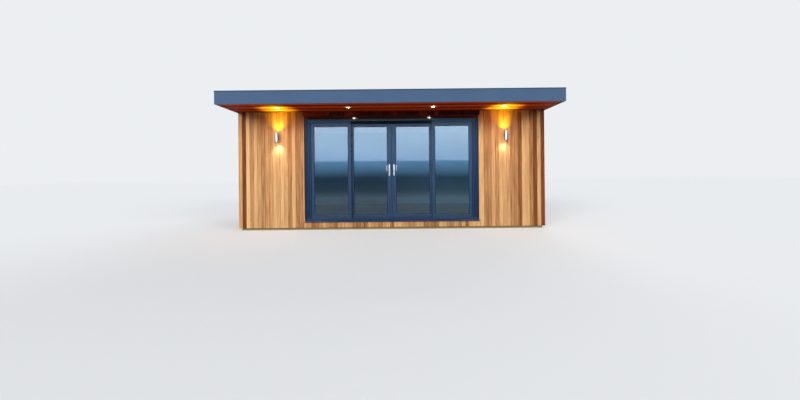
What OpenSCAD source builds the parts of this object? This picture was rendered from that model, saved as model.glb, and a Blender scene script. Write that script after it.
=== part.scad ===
// Garden office pod: a flat-roofed timber garden room with a deep front overhang,
// cedar cladding and a four-panel sliding door set across the middle of its front.
// Millimetres. The front faces -Y, +X is to the right seen from the front, +Z is up.
// The origin is the centre of the footprint of the walls, at ground level.

/* [Building] */
// Width over the side cladding
wall_w = 6300; // [5600:50:7600]
// Depth from the front cladding face to the back cladding face
wall_d = 3900; // [2800:50:5200]
// Height of the strip of cladding between the door frame and the soffit
head_strip = 105; // [60:5:400]

/* [Floor] */
// Height of the joists of the floor frame
joist_h = 145; // [95:5:220]
// Width of one joist
joist_w = 45; // [38:1:75]
// Distance from joist centre to joist centre
joist_pitch = 400; // [300:10:600]
// Thickness of the structural floor deck
deck_t = 22; // [18:1:30]
// Thickness of the finished floor boards
floor_t = 14; // [8:1:22]

/* [Walls] */
// Thickness of the insulated wall panels
panel_t = 125; // [100:1:175]
// Thickness of the plasterboard on walls and ceiling
board_t = 12.5; // [9:0.5:19]
// Joint left between two sheets of plasterboard at a corner
board_joint = 3; // [2:0.5:6]
// Thickness of the timber cladding
clad_t = 20; // [15:1:28]
// Thickness of the battens behind the cladding
batten_t = 25; // [19:1:50]
// Face width of a batten
batten_w = 50; // [38:1:75]
// Number of batten rows up a wall
batten_rows = 5; // [3:1:7]
// Height of the lower edge of the cladding above the ground
clad_gap = 50; // [20:5:120]
// Face width of the cedar laths that line the doorway
lath_w = 20; // [15:1:35]

/* [Roof] */
// How far the fascia stands forward of the front cladding
overhang = 800; // [500:10:1200]
// How far the fascia stands proud of the side and back cladding
fascia_proud = 25; // [22:1:80]
// Thickness of the fascia boards
fascia_t = 20; // [12:1:21]
// How far the fascia drops below the soffit
fascia_drop = 5; // [0:1:40]
// Thickness of the soffit boards
soffit_t = 18; // [12:1:25]
// Depth of the battens above the soffit boards
soffit_batten_t = 22; // [19:1:38]
// Distance between the battens above the soffit
soffit_batten_pitch = 500; // [300:10:800]
// Thickness of the roof panel at the front edge
roof_t = 172; // [140:1:240]
// Fall of the roof surface from front to back
roof_fall = 60; // [20:5:110]
// Thickness of the roof membrane
membrane_t = 3; // [2:0.5:6]
// How far the membrane reaches out over the gutter
drip = 12; // [6:1:20]
// Height of the kerb that stands above the membrane at the front
kerb_h = 22; // [10:1:60]
// Width of the metal trim over the kerb
trim_w = 60; // [40:1:100]
// Thickness of the metal trim
trim_t = 3; // [2:0.5:5]
// Depth of the outer leg of the trim
trim_leg = 14; // [8:1:40]

/* [Gutter] */
// Radius of the half-round gutter
gutter_r = 56; // [45:1:70]
// Height of the back edge of the roof above the rim of the gutter
gutter_drop = 14; // [8:1:30]
// Wall thickness of the gutter
gutter_t = 3; // [2:0.5:5]
// Diameter of the downpipe
pipe_d = 68; // [50:1:80]
// Distance of the downpipe from the right-hand corner of the back wall
pipe_inset = 180; // [100:10:600]
// Height of the bend at the foot of the downpipe
pipe_foot = 190; // [150:5:400]
// Length of the slanting shoe under the bend
shoe_l = 150; // [100:5:180]
// How far the mouth of the shoe is bored out
shoe_bore = 60; // [20:5:80]
// Height of a pipe clip
clip_h = 30; // [20:1:50]
// Distance of the end clips from the bend and from the back fascia
clip_inset = 60; // [20:5:200]
// Depth of the outlet under the gutter
outlet_h = 20; // [10:1:40]

/* [Lights] */
// Distance of the inner downlights from the middle of the front
downlight_in = 825; // [500:5:1300]
// Distance of the outer downlights from the middle of the front
downlight_out = 2195; // [1600:5:2600]
// Distance of the downlights behind the face of the front fascia
downlight_back = 400; // [200:10:600]
// Diameter of the downlight rim
downlight_d = 86; // [70:1:110]
// Diameter of the downlight body in the soffit
can_d = 68; // [50:1:80]
// Height of the downlight body above the soffit face
can_h = 34; // [25:1:36]
// Clearance round the downlight body in its hole
can_gap = 2; // [1:0.5:4]
// Distance of the wall lights from the middle of the front
wall_light_x = 2335; // [2100:5:2600]
// Height of the middle of a wall light above the floor deck
wall_light_h = 1742; // [1500:5:2000]
// Diameter of a wall light
wall_light_d = 66; // [50:1:110]
// Length of a wall light
wall_light_l = 190; // [120:5:260]
// Distance between the wall and the tube of a wall light
wall_light_gap = 30; // [20:1:60]
// Width of the oval plate that holds a wall light
light_plate_w = 56; // [40:1:90]
// Height of the straight part of that plate
light_plate_h = 40; // [20:1:80]
// Depth of the lenses inside the tube of a wall light
lens_recess = 6; // [3:0.5:15]

/* [Door frame] */
// Width over the door frame
door_w = 3600; // [3400:10:4200]
// Height of the door frame above its cill
door_h = 2130; // [2000:10:2140]
// How far the frame is set back behind the cladding face
door_set = 35; // [24:1:44]
// Height of the cill
cill_h = 30; // [20:1:50]
// How far the nose of the cill stands forward of the cladding
cill_nose = 20; // [10:1:60]
// Visible width of the frame at the jambs and the head
frame_face = 132; // [90:1:150]
// Width of the outer part of the frame face, up to the shadow line
frame_outer = 54; // [30:1:70]
// Set-back of the inner part of the frame face
frame_step = 4; // [2:0.5:6]
// Thickness of the front, middle and back fins of the frame
fin_t = 11; // [8:0.5:16]
// Depth of the channels between the fins
lip = 16; // [14:1:24]
// Thickness of the sill under its channels
sill_t = 16; // [12:1:30]
// Width of the rail on which the rollers run
rail_w = 6; // [4:0.5:8]
// Height of the rail on which the rollers run
rail_h = 8; // [6:0.5:10]

/* [Door panels] */
// Thickness of a door panel
sash_t = 38; // [36:1:48]
// Running clearance round a moving panel
run_gap = 5; // [5:0.5:8]
// Visible width of the stiles and rails of a panel
sash_face = 63; // [50:1:90]
// How far a panel reaches up into the head
head_engage = 10; // [8:1:12]
// Width of the meeting stiles
meet_w = 89; // [75:1:110]
// Half of the gap between the two meeting stiles
meet_gap = 3; // [2.5:0.5:5]
// Thickness of the tongue on the left meeting stile
tongue_w = 8; // [5:0.5:10]
// How far the tongue reaches into the right meeting stile
tongue_in = 3; // [2:0.5:6]
// Depth of the groove that takes the tongue
groove_d = 12; // [11:1:20]
// Width of the sliding panel's interlock stile that shows beside the fixed panel
interlock_show = 45; // [30:1:60]
// How far the sliding panel reaches behind the fixed panel
interlock_lap = 36; // [32:1:50]
// Thickness of the hooks of the interlock
hook_t = 3; // [2:0.5:3]
// How far the hook of the fixed panel reaches along its stile
hook_reach = 21; // [16:1:26]
// How deep the foot of a hook sits in its stile
hook_root = 3; // [3:0.5:5]
// Thickness of one pane of glass
pane_t = 4; // [4:1:6]
// Space between the two panes of a unit
pane_space = 20; // [12:1:20]
// How far the glass reaches into its groove
pane_edge = 12; // [8:1:14]
// Width of the bevel along the edges of the panels
bevel = 2; // [1:0.5:3]
// Distance that each door slides
travel = 700; // [600:10:700]
// Length of the buffer in the track that ends the travel
buffer_l = 30; // [20:5:60]

/* [Rollers] */
// Diameter of a roller
roller_d = 22; // [18:1:24]
// Width of a roller
roller_w = 9; // [8:0.5:10]
// Running clearance between roller and rail
roller_gap = 0.3; // [0.2:0.1:0.4]
// Distance of a roller from the end of its panel
roller_inset = 130; // [100:10:250]
// Length of the block that holds a roller
block_l = 60; // [40:2:90]

/* [Handles] */
// Height of the middle of the handle plates above the floor deck
handle_h = 1055; // [900:5:1200]
// Length of a handle plate
plate_l = 238; // [200:1:280]
// Width of a handle plate
plate_w = 30; // [24:1:36]
// Thickness of a handle plate
plate_t = 6; // [4:0.5:10]
// Distance of the plate's middle line from the meeting line
plate_x = 49; // [40:1:60]
// Distance between the two legs of the pull
pull_l = 128; // [110:1:150]
// Diameter of the bar of the pull
pull_d = 15; // [12:1:18]
// Reach of the pull, along its own slanting plane
pull_reach = 66; // [50:1:72]
// Angle by which the pull leans away from the meeting line
pull_lean = 50; // [35:1:60]
// Radius of the bends of the pull, at the middle of the bar
pull_bend = 20; // [14:1:26]
// Diameter of the key cylinder
key_d = 17; // [15:1:20]

/* [Hidden] */
$fn = 48;

// Levels from the ground up
z_deck = joist_h + deck_t;
z_soffit = z_deck + cill_h + door_h + head_strip;
z_roof = z_soffit + soffit_t + soffit_batten_t;
z_ceiling = z_roof - board_t;
z_fascia = z_soffit - fascia_drop;
z_kerb = z_roof + roof_t + membrane_t + kerb_h;
z_roof_back = z_roof + roof_t - roof_fall;

// Faces of the walls, measured from the middle
x_clad = wall_w / 2;
y_clad = wall_d / 2;
skin = clad_t + batten_t;
x_panel = x_clad - skin;
y_panel = y_clad - skin;
x_room = x_panel - panel_t;
y_room = y_panel - panel_t;

// Edges of the roof
x_fascia = x_clad + fascia_proud;
y_fascia_front = -y_clad - overhang;
y_fascia_back = y_clad + fascia_proud;
x_roof = x_fascia - fascia_t;
y_roof_front = y_fascia_front + fascia_t;
y_roof_back = y_fascia_back - fascia_t;
y_soffit_back = -y_clad + clad_t;

// Door frame, seen from the front face of the frame inwards
x_frame = door_w / 2;
z_sill = z_deck + cill_h;
z_frame_top = z_sill + door_h;
y_frame = -y_clad + door_set;
channel = sash_t + 2 * run_gap;
frame_d = 3 * fin_t + 2 * channel;
y_track_front = y_frame + fin_t;
y_track_back = y_track_front + channel + fin_t;
y_sash_fixed = y_track_front + run_gap;
y_sash_slide = y_track_back + run_gap;
web = frame_face - lip;
z_track = z_sill + sill_t;
z_lip_low = z_track + lip;
z_lip_high = z_frame_top - frame_face;

// Door panels of the left half; the right half is its mirror image
x_fixed_out = -x_frame + web;
stile_jamb = sash_face + lip;
stile_lock = interlock_show + interlock_lap;
rail_low = sash_face + lip;
rail_high = sash_face + head_engage;
glass_w = (x_frame - web - stile_jamb - sash_face - interlock_show - meet_w - meet_gap) / 2;
x_fixed_in = x_fixed_out + stile_jamb + glass_w + sash_face;
x_slide_out = x_fixed_in - interlock_lap;
x_slide_in = -meet_gap;
z_sash_top = z_lip_high + head_engage;
z_fixed_low = z_track;
z_slide_low = z_track + run_gap;
groove_w = rail_w + 2 * run_gap;
groove_h = run_gap + 2 * sash_t / 3;
z_hook_low = z_lip_low + run_gap;
z_hook_high = z_lip_high - run_gap;
sight_t = (sash_t - 2 * pane_t - pane_space) / 2;
y_mid_gap = y_sash_fixed + sash_t;
tiny = 0.01;

module box_from(low, high) {
    translate(low)
        cube(high - low);
}

// A bar of constant section along X, its section drawn with Y to the right and Z up
module bar_x(x0, x1) {
    translate([x0, 0, 0])
        rotate([90, 0, 90])
            linear_extrude(x1 - x0)
                children();
}

// A flat shape in the XZ plane, made solid from y0 to y1
module plate_xz(y0, y1) {
    translate([0, y1, 0])
        rotate([90, 0, 0])
            linear_extrude(y1 - y0)
                children();
}

// Floor

module floor_rims() {
    color("burlywood")
        for (side = [-1, 1]) {
            y_near = side < 0 ? -y_panel : y_panel - joist_w;
            box_from([-x_panel, y_near, 0], [x_panel, y_near + joist_w, joist_h]);
        }
}

// Joists on centres from the middle outwards, and one under each side wall
module floor_joists() {
    x_end = x_panel - joist_w / 2;
    rows = floor((x_end - 2 * joist_w) / joist_pitch);
    color("burlywood")
        for (x = concat([-x_end, x_end], [for (i = [-rows:rows]) i * joist_pitch]))
            box_from([x - joist_w / 2, -y_panel + joist_w, 0],
                     [x + joist_w / 2, y_panel - joist_w, joist_h]);
}

module floor_deck() {
    color("tan")
        box_from([-x_panel, -y_panel, joist_h], [x_panel, y_panel, z_deck]);
}

module floor_boards() {
    x_in = x_room - board_t;
    y_in = y_room - board_t;
    color("peru") {
        box_from([-x_in, -y_in, z_deck], [x_in, y_in, z_deck + floor_t]);
        box_from([-x_frame + board_joint, y_frame + frame_d, z_deck],
                 [x_frame - board_joint, -y_in + 1, z_deck + floor_t]);
    }
}

// Walls

module wall_slab(low, high) {
    box_from([low[0], low[1], z_deck], [high[0], high[1], z_roof]);
}

module back_wall() {
    color("navajowhite")
        wall_slab([-x_panel, y_room], [x_panel, y_panel]);
}

module side_walls() {
    color("navajowhite")
        for (side = [-1, 1]) {
            x_near = side < 0 ? -x_panel : x_room;
            wall_slab([x_near, -y_room], [x_near + panel_t, y_room]);
        }
}

module front_wall_piers() {
    color("navajowhite")
        for (side = [-1, 1]) {
            x_near = side < 0 ? -x_panel : x_frame;
            wall_slab([x_near, -y_panel], [x_near + x_panel - x_frame, -y_room]);
        }
}

module front_wall_head() {
    color("wheat")
        box_from([-x_frame, -y_panel, z_frame_top], [x_frame, -y_room, z_roof]);
}

module wall_lining() {
    x_in = x_room - board_t;
    y_in = y_room - board_t;
    color("white") {
        box_from([-x_room, y_in, z_deck], [x_room, y_room, z_ceiling]);
        for (side = [-1, 1]) {
            x_near = side < 0 ? -x_room : x_in;
            box_from([x_near, -y_in + board_joint, z_deck],
                     [x_near + board_t, y_in - board_joint, z_ceiling]);
            x_pier = side < 0 ? -x_room : x_frame;
            box_from([x_pier, -y_room, z_deck],
                     [x_pier + x_room - x_frame, -y_in, z_ceiling]);
        }
        box_from([-x_frame + board_joint, -y_room, z_frame_top],
                 [x_frame - board_joint, -y_in, z_ceiling]);
    }
}

module ceiling() {
    color("white")
        box_from([-x_room, -y_room, z_ceiling], [x_room, y_room, z_roof]);
}

// Battens behind the cladding and above the soffit

module batten_stack(z_low, z_high, rows) {
    step = (z_high - z_low - batten_w) / (rows - 1);
    for (i = [0:rows - 1])
        translate([0, 0, z_low + i * step])
            children();
}

module battens() {
    lamps = [-downlight_out, -downlight_in, downlight_in, downlight_out];
    last = floor((x_roof - batten_w) / soffit_batten_pitch);
    color("sienna") {
        batten_stack(clad_gap + batten_w, z_roof, batten_rows) {
            union() {
                box_from([-x_panel, y_panel, 0], [x_panel, y_panel + batten_t, batten_w]);
                for (side = [-1, 1]) {
                    x_near = side < 0 ? -x_panel - batten_t : x_panel;
                    box_from([x_near, -y_panel + batten_w, 0],
                             [x_near + batten_t, y_panel - batten_w, batten_w]);
                    x_pier = side < 0 ? -x_panel : x_frame + lath_w;
                    box_from([x_pier, -y_panel - batten_t, 0],
                             [x_pier + x_panel - x_frame - lath_w, -y_panel, batten_w]);
                }
            }
        }
        box_from([-x_frame + board_joint, -y_panel - batten_t, z_roof - batten_w],
                 [x_frame - board_joint, -y_panel, z_roof]);
        box_from([-x_frame + board_joint, -y_panel - batten_t, clad_gap + batten_w],
                 [x_frame - board_joint, -y_panel, z_deck]);
        for (i = [-last:last]) {
            x_mid = i * soffit_batten_pitch;
            clear = min([for (x = lamps) abs(x - x_mid)]);
            if (clear > (can_d + batten_w) / 2 + can_gap)
                box_from([x_mid - batten_w / 2, y_roof_front, z_soffit + soffit_t],
                         [x_mid + batten_w / 2, y_soffit_back - board_joint, z_roof]);
        }
    }
}

// Cladding

module back_cladding() {
    color("peru")
        box_from([-x_clad + clad_t, y_clad - clad_t, clad_gap], [x_clad - clad_t, y_clad, z_roof]);
}

module side_cladding() {
    color("peru")
        for (side = [-1, 1]) {
            x_near = side < 0 ? -x_clad : x_clad - clad_t;
            box_from([x_near, -y_clad + clad_t, clad_gap], [x_near + clad_t, y_clad, z_roof]);
        }
}

module front_cladding_piers() {
    color("sandybrown")
        for (side = [-1, 1]) {
            x_near = side < 0 ? -x_clad : x_frame + lath_w;
            box_from([x_near, -y_clad, clad_gap],
                     [x_near + x_clad - x_frame - lath_w, -y_clad + clad_t, z_soffit]);
        }
}

module front_cladding_centre() {
    color("sandybrown") {
        box_from([-x_frame - lath_w, -y_clad, z_frame_top + lath_w],
                 [x_frame + lath_w, -y_clad + clad_t, z_soffit]);
        box_from([-x_frame - lath_w, -y_clad, clad_gap],
                 [x_frame + lath_w, -y_clad + clad_t, z_deck]);
    }
}

// Three laths round the doorway, mitred at the top corners and fused into one frame
module doorway_laths() {
    color("chocolate")
        difference() {
            box_from([-x_frame - lath_w, -y_clad, z_deck],
                     [x_frame + lath_w, -y_panel, z_frame_top + lath_w]);
            box_from([-x_frame, -y_clad - 1, z_deck - 1], [x_frame, -y_panel + 1, z_frame_top]);
        }
}

// Roof

function fall_at(y) = roof_fall * (y - y_roof_front) / (y_roof_back - y_roof_front);

module roof_panel() {
    color("lightgray")
        bar_x(-x_roof, x_roof)
            polygon([
                [y_roof_front, z_roof],
                [y_roof_back, z_roof],
                [y_roof_back, z_roof_back],
                [y_roof_front, z_roof + roof_t]
            ]);
}

// The membrane follows the fall of the roof and laps over the back fascia into the gutter
module roof_membrane() {
    y_drip = y_fascia_back + drip;
    z_drip = z_roof + roof_t - fall_at(y_drip);
    color("dimgray")
        bar_x(-x_roof, x_roof)
            polygon([
                [y_roof_front, z_roof + roof_t],
                [y_roof_back, z_roof_back],
                [y_drip, z_drip],
                [y_drip, z_drip + membrane_t],
                [y_roof_front, z_roof + roof_t + membrane_t]
            ]);
}

module fascia_front() {
    color("darkslategray")
        box_from([-x_fascia, y_fascia_front, z_fascia], [x_fascia, y_roof_front, z_kerb]);
}

module fascia_sides() {
    color("darkslategray")
        for (side = [-1, 1]) {
            x_near = side < 0 ? -x_fascia : x_roof;
            box_from([x_near, y_roof_front, z_fascia], [x_near + fascia_t, y_fascia_back, z_kerb]);
        }
}

module fascia_back() {
    z_top = z_roof + roof_t - fall_at(y_fascia_back) - tiny;
    color("darkslategray")
        box_from([-x_roof, y_roof_back, z_fascia], [x_roof, y_fascia_back, z_top]);
}

// Metal trim over the kerb on the front and both sides, open at the back
module roof_trim() {
    outer = trim_t;
    color("slategray")
        difference() {
            box_from([-x_fascia - outer, y_fascia_front - outer, z_kerb - trim_leg],
                     [x_fascia + outer, y_fascia_back, z_kerb + trim_t]);
            box_from([-x_fascia, y_fascia_front, z_kerb - trim_leg - 1],
                     [x_fascia, y_fascia_back + 1, z_kerb]);
            box_from([-x_fascia + trim_w, y_fascia_front + trim_w, z_kerb - 1],
                     [x_fascia - trim_w, y_fascia_back + 1, z_kerb + trim_t + 1]);
        }
}

module soffit() {
    y_lamp = y_fascia_front + downlight_back;
    color("saddlebrown")
        difference() {
            box_from([-x_roof, y_roof_front, z_soffit], [x_roof, y_soffit_back, z_soffit + soffit_t]);
            for (x = [-downlight_out, -downlight_in, downlight_in, downlight_out])
                translate([x, y_lamp, z_soffit - 1])
                    cylinder(d = can_d + 2 * can_gap, h = soffit_t + 2);
        }
}

// Lights

// Rim, tapered reflector and flat lens of one recessed light, turned about its axis
module downlight() {
    rim_r = downlight_d / 2;
    can_r = can_d / 2;
    lens_r = can_r - 10;
    rotate_extrude()
        polygon([
            [0, 12], [lens_r, 12], [lens_r + 6, -3], [rim_r - 2, -3],
            [rim_r, -1.5], [rim_r, 0], [can_r, 0], [can_r, can_h], [0, can_h]
        ]);
}

module downlights() {
    color("white")
        for (x = [-downlight_out, -downlight_in, downlight_in, downlight_out])
            translate([x, y_fascia_front + downlight_back, z_soffit])
                downlight();
}

// Up-and-down wall light: wall plate, arm and a turned tube with a recessed lens at each end
module wall_light() {
    r = wall_light_d / 2;
    half = wall_light_l / 2;
    plate = 8;
    arm_w = light_plate_w / 2;
    rim = 3;
    rotate([90, 0, 0])
        linear_extrude(plate)
            union() {
                for (z = [-1, 1])
                    translate([0, z * light_plate_h / 2])
                        circle(d = light_plate_w);
                square([light_plate_w, light_plate_h], center = true);
            }
    box_from([-arm_w / 2, -wall_light_gap - r, -arm_w / 2], [arm_w / 2, -plate, arm_w / 2]);
    translate([0, -wall_light_gap - r, 0])
        rotate_extrude()
            polygon([
                [0, -half + lens_recess], [r - rim - 2, -half + lens_recess], [r - rim, -half],
                [r - 1, -half], [r, -half + 1], [r, half - 1], [r - 1, half], [r - rim, half],
                [r - rim - 2, half - lens_recess], [0, half - lens_recess]
            ]);
}

module wall_lights() {
    color("silver")
        for (side = [-1, 1])
            translate([side * wall_light_x, -y_clad, z_deck + wall_light_h])
                wall_light();
}

// Rainwater goods

y_gutter = y_fascia_back + gutter_r;
z_gutter = z_roof_back - gutter_drop;
x_pipe = x_clad - pipe_inset;
z_pipe_top = z_gutter - gutter_r - outlet_h;

module gutter() {
    end = x_fascia - 6;
    color("dimgray")
        difference() {
            union() {
                bar_x(-end, end)
                    translate([y_gutter, z_gutter])
                        circle(r = gutter_r);
                translate([x_pipe, y_gutter, z_pipe_top])
                    cylinder(d = pipe_d + 8, h = 2 * outlet_h);
            }
            bar_x(-end + gutter_t, end - gutter_t)
                translate([y_gutter, z_gutter])
                    circle(r = gutter_r - gutter_t);
            box_from([-end - 1, y_gutter - gutter_r - 1, z_gutter],
                     [end + 1, y_gutter + gutter_r + 1, z_gutter + gutter_r + 1]);
        }
}

// Downpipe with its clips, and at its foot a shoe that slants away from the wall
module downpipe() {
    r = pipe_d / 2;
    shoe_tilt = -125;
    clip_t = 5;
    reach = y_gutter - y_clad;
    clip_low = pipe_foot + clip_inset;
    clip_high = z_fascia - clip_inset - clip_h;
    color("dimgray")
        translate([x_pipe, y_gutter, 0])
            difference() {
                union() {
                    translate([0, 0, pipe_foot]) {
                        cylinder(r = r, h = z_pipe_top - pipe_foot);
                        sphere(r = r);
                        rotate([shoe_tilt, 0, 0])
                            cylinder(r = r, h = shoe_l);
                    }
                    for (z = [clip_low, (clip_low + clip_high) / 2, clip_high]) {
                        translate([0, 0, z])
                            cylinder(r = r + clip_t, h = clip_h);
                        box_from([-12, -reach, z], [12, 0, z + clip_h]);
                        box_from([-r, -reach, z], [r, -reach + clip_t, z + clip_h]);
                    }
                }
                translate([0, 0, pipe_foot])
                    rotate([shoe_tilt, 0, 0])
                        translate([0, 0, shoe_l - shoe_bore])
                            cylinder(r = r - gutter_t, h = shoe_bore + 1);
            }
}

// Door frame

// Head and jamb section: x runs from the wall to the opening, y from front to back
module frame_section() {
    difference() {
        polygon([
            [0, 0], [frame_outer - 3, 0], [frame_outer, 5], [frame_outer + 3, frame_step],
            [frame_face - bevel, frame_step], [frame_face, frame_step + bevel],
            [frame_face, frame_d - bevel], [frame_face - bevel, frame_d], [0, frame_d]
        ]);
        for (y = [fin_t, 2 * fin_t + channel])
            translate([web, y])
                square([lip + 1, channel]);
    }
}

module door_cill() {
    y_back = y_frame + frame_d;
    y_nose = -y_clad - cill_nose;
    color("darkslategray")
        bar_x(-x_frame, x_frame)
            polygon([
                [y_nose, z_deck - 8], [y_nose + 5, z_deck - 8], [y_nose + 5, z_deck],
                [y_back, z_deck], [y_back, z_sill], [y_frame, z_sill],
                [y_nose + 4, z_deck + cill_h / 2], [y_nose, z_deck + cill_h / 2 - 4]
            ]);
}

// Twin-channel sill with the running rail in the back channel, and a buffer near each end
// of the rail that ends the travel of the doors
module door_sill() {
    y_rail = y_track_back + channel / 2;
    x_buffer = x_slide_out - travel - run_gap;
    color("darkslategray") {
        for (side = [0, 1])
            mirror([side, 0, 0])
                box_from([x_buffer - buffer_l, y_track_back, z_track],
                         [x_buffer, y_track_back + channel, z_lip_low - bevel]);
        bar_x(-x_frame, x_frame)
            union() {
                translate([y_frame, z_sill])
                    difference() {
                        polygon([
                            [0, 0], [frame_d, 0], [frame_d, sill_t + lip - bevel],
                            [frame_d - bevel, sill_t + lip], [bevel, sill_t + lip],
                            [0, sill_t + lip - bevel]
                        ]);
                        for (y = [fin_t, 2 * fin_t + channel])
                            translate([y, sill_t])
                                square([channel, lip + 1]);
                    }
                translate([y_rail - rail_w / 2, z_track - 1])
                    square([rail_w, rail_h + 1]);
            }
    }
}

module door_jambs() {
    color("darkslategray")
        for (side = [0, 1])
            mirror([side, 0, 0])
                intersection() {
                    translate([-x_frame, y_frame, z_sill])
                        linear_extrude(door_h)
                            frame_section();
                    plate_xz(y_frame - 1, y_frame + frame_d + 1)
                        polygon([
                            [-x_frame, z_lip_low], [-x_frame + frame_face, z_lip_low],
                            [-x_frame + frame_face, z_lip_high], [-x_frame, z_frame_top]
                        ]);
                }
}

module door_head() {
    color("darkslategray")
        intersection() {
            translate([-x_frame, y_frame, z_frame_top])
                rotate([0, 90, 0])
                    linear_extrude(door_w)
                        frame_section();
            plate_xz(y_frame - 1, y_frame + frame_d + 1)
                polygon([
                    [-x_frame, z_frame_top], [-x_frame + frame_face, z_lip_high],
                    [x_frame - frame_face, z_lip_high], [x_frame, z_frame_top]
                ]);
        }
}

// Door panels

// Stile or rail section: x from the outer edge to the glass, y from front to back,
// with the glazing groove and a bevelled sight line on both faces
module sash_section(w) {
    difference() {
        polygon([
            [bevel, 0], [w - 8, 0], [w, 3], [w, sash_t - 3], [w - 8, sash_t],
            [bevel, sash_t], [0, sash_t - bevel], [0, bevel]
        ]);
        translate([w - pane_edge - 2, sight_t])
            square([pane_edge + 3, sash_t - 2 * sight_t]);
    }
}

// Mitre prisms for a panel from x0 to x1 and z0 to z1
module stile_mitre(x0, x1, z0, z1, low, high) {
    plate_xz(-tiny, sash_t + tiny)
        polygon([[x0, z0], [x1, z0 + low], [x1, z1 - high], [x0, z1]]);
}

module rail_mitre(x0, x1, z0, z1, left, right) {
    plate_xz(-tiny, sash_t + tiny)
        polygon([[x0, z0], [x1, z0], [x1 - right, z1], [x0 + left, z1]]);
}

module stile(x0, w, z0, z1) {
    intersection() {
        translate([x0, 0, z0])
            linear_extrude(z1 - z0)
                sash_section(w);
        stile_mitre(x0, x0 + w, z0, z1, rail_low, rail_high);
    }
}

module stile_right(x1, w, z0, z1) {
    translate([x1, 0, 0])
        mirror([1, 0, 0])
            stile(0, w, z0, z1);
}

module rail(x0, x1, z0, h, left, right) {
    intersection() {
        translate([x0, 0, z0])
            rotate([0, 90, 0])
                mirror([1, 0, 0])
                    linear_extrude(x1 - x0)
                        sash_section(h);
        rail_mitre(x0, x1, z0, z0 + h, left, right);
    }
}

module rail_top(x0, x1, z1, h, left, right) {
    translate([0, 0, z1])
        mirror([0, 0, 1])
            rail(x0, x1, 0, h, left, right);
}

module pane_pair(x0, x1, z0, z1) {
    for (y = [sight_t, sash_t - sight_t - pane_t])
        box_from([x0, y, z0], [x1, y + pane_t, z1]);
}

// Hook of the interlock: a stem across the gap and a tip along it
module hook(x_stem, y_stem, x_tip, y_tip, z0, z1) {
    y_low = min(y_stem, y_tip);
    y_high = max(y_stem, y_tip + hook_t);
    translate([0, 0, z0])
        linear_extrude(z1 - z0)
            union() {
                translate([x_stem, y_low])
                    square([hook_t, y_high - y_low]);
                translate([min(x_stem, x_tip), y_tip])
                    square([abs(x_tip - x_stem) + (x_tip < x_stem ? hook_t : 0), hook_t]);
            }
}

module fixed_stiles() {
    hook_y = y_sash_slide - y_sash_fixed - run_gap - hook_t;
    color("slategray")
        for (side = [0, 1])
            mirror([side, 0, 0])
                translate([0, y_sash_fixed, 0]) {
                    stile(x_fixed_out, stile_jamb, z_fixed_low, z_sash_top);
                    stile_right(x_fixed_in, sash_face, z_fixed_low, z_sash_top);
                    hook(x_fixed_in - hook_t, sash_t - hook_root, x_fixed_in - hook_reach, hook_y,
                         z_hook_low, z_hook_high);
                }
}

module fixed_rails() {
    color("slategray")
        for (side = [0, 1])
            mirror([side, 0, 0])
                translate([0, y_sash_fixed, 0]) {
                    rail(x_fixed_out, x_fixed_in, z_fixed_low, rail_low, stile_jamb, sash_face);
                    rail_top(x_fixed_out, x_fixed_in, z_sash_top, rail_high, stile_jamb, sash_face);
                }
}

module fixed_glass() {
    color("lightblue", 0.4)
        for (side = [0, 1])
            mirror([side, 0, 0])
                translate([0, y_sash_fixed, 0])
                    pane_pair(x_fixed_out + stile_jamb - pane_edge, x_fixed_in - sash_face + pane_edge,
                              z_fixed_low + rail_low - pane_edge, z_sash_top - rail_high + pane_edge);
}

// The groove along the foot of a sliding panel, in which the rail and the rollers lie
module foot_groove() {
    y_groove = (sash_t - groove_w) / 2;
    box_from([x_slide_out - 1, y_groove, z_slide_low - 1],
             [x_slide_in + 1, y_groove + groove_w, z_slide_low + groove_h]);
}

// The meeting stile of the left door carries a tongue, that of the right door a groove
module door_stiles(grooved) {
    hook_y = y_mid_gap + run_gap - y_sash_slide;
    groove = tongue_w + 2 * run_gap;
    translate([0, y_sash_slide, 0]) {
        difference() {
            stile(x_slide_out, stile_lock, z_slide_low, z_sash_top);
            foot_groove();
        }
        hook(x_slide_out, hook_root, x_fixed_in - hook_t - run_gap, hook_y,
             z_hook_low, z_hook_high);
        difference() {
            stile_right(x_slide_in, meet_w, z_slide_low, z_sash_top);
            foot_groove();
            if (grooved)
                box_from([-meet_gap - groove_d, (sash_t - groove) / 2, z_slide_low - 1],
                         [x_slide_in + 1, (sash_t + groove) / 2, z_sash_top + 1]);
        }
    }
}

module left_door_tongue() {
    color("slategray")
        translate([0, y_sash_slide, 0])
            box_from([x_slide_in, (sash_t - tongue_w) / 2, z_hook_low],
                     [meet_gap + tongue_in, (sash_t + tongue_w) / 2, z_hook_high]);
}

module door_rails() {
    translate([0, y_sash_slide, 0]) {
        difference() {
            rail(x_slide_out, x_slide_in, z_slide_low, rail_low, stile_lock, meet_w);
            foot_groove();
        }
        rail_top(x_slide_out, x_slide_in, z_sash_top, rail_high, stile_lock, meet_w);
    }
}

module door_glass() {
    translate([0, y_sash_slide, 0])
        pane_pair(x_slide_out + stile_lock - pane_edge, x_slide_in - meet_w + pane_edge,
                  z_slide_low + rail_low - pane_edge, z_sash_top - rail_high + pane_edge);
}

// Roller: a wheel with a shallow running groove in a block under the bottom rail
module roller() {
    r = roller_d / 2;
    top = z_slide_low + groove_h;
    axle = z_track + rail_h + roller_gap + r;
    block_w = groove_w - 2;
    block_low = max(z_track + rail_h + run_gap, axle - r / 2);
    box_from([-block_l / 2, -block_w / 2, block_low], [block_l / 2, block_w / 2, top]);
    translate([0, 0, axle])
        rotate([90, 0, 0])
            cylinder(r = r, h = roller_w, center = true);
}

module door_rollers() {
    for (x = [x_slide_out + roller_inset, x_slide_in - roller_inset])
        translate([x, y_sash_slide + sash_t / 2, 0])
            roller();
}

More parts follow.
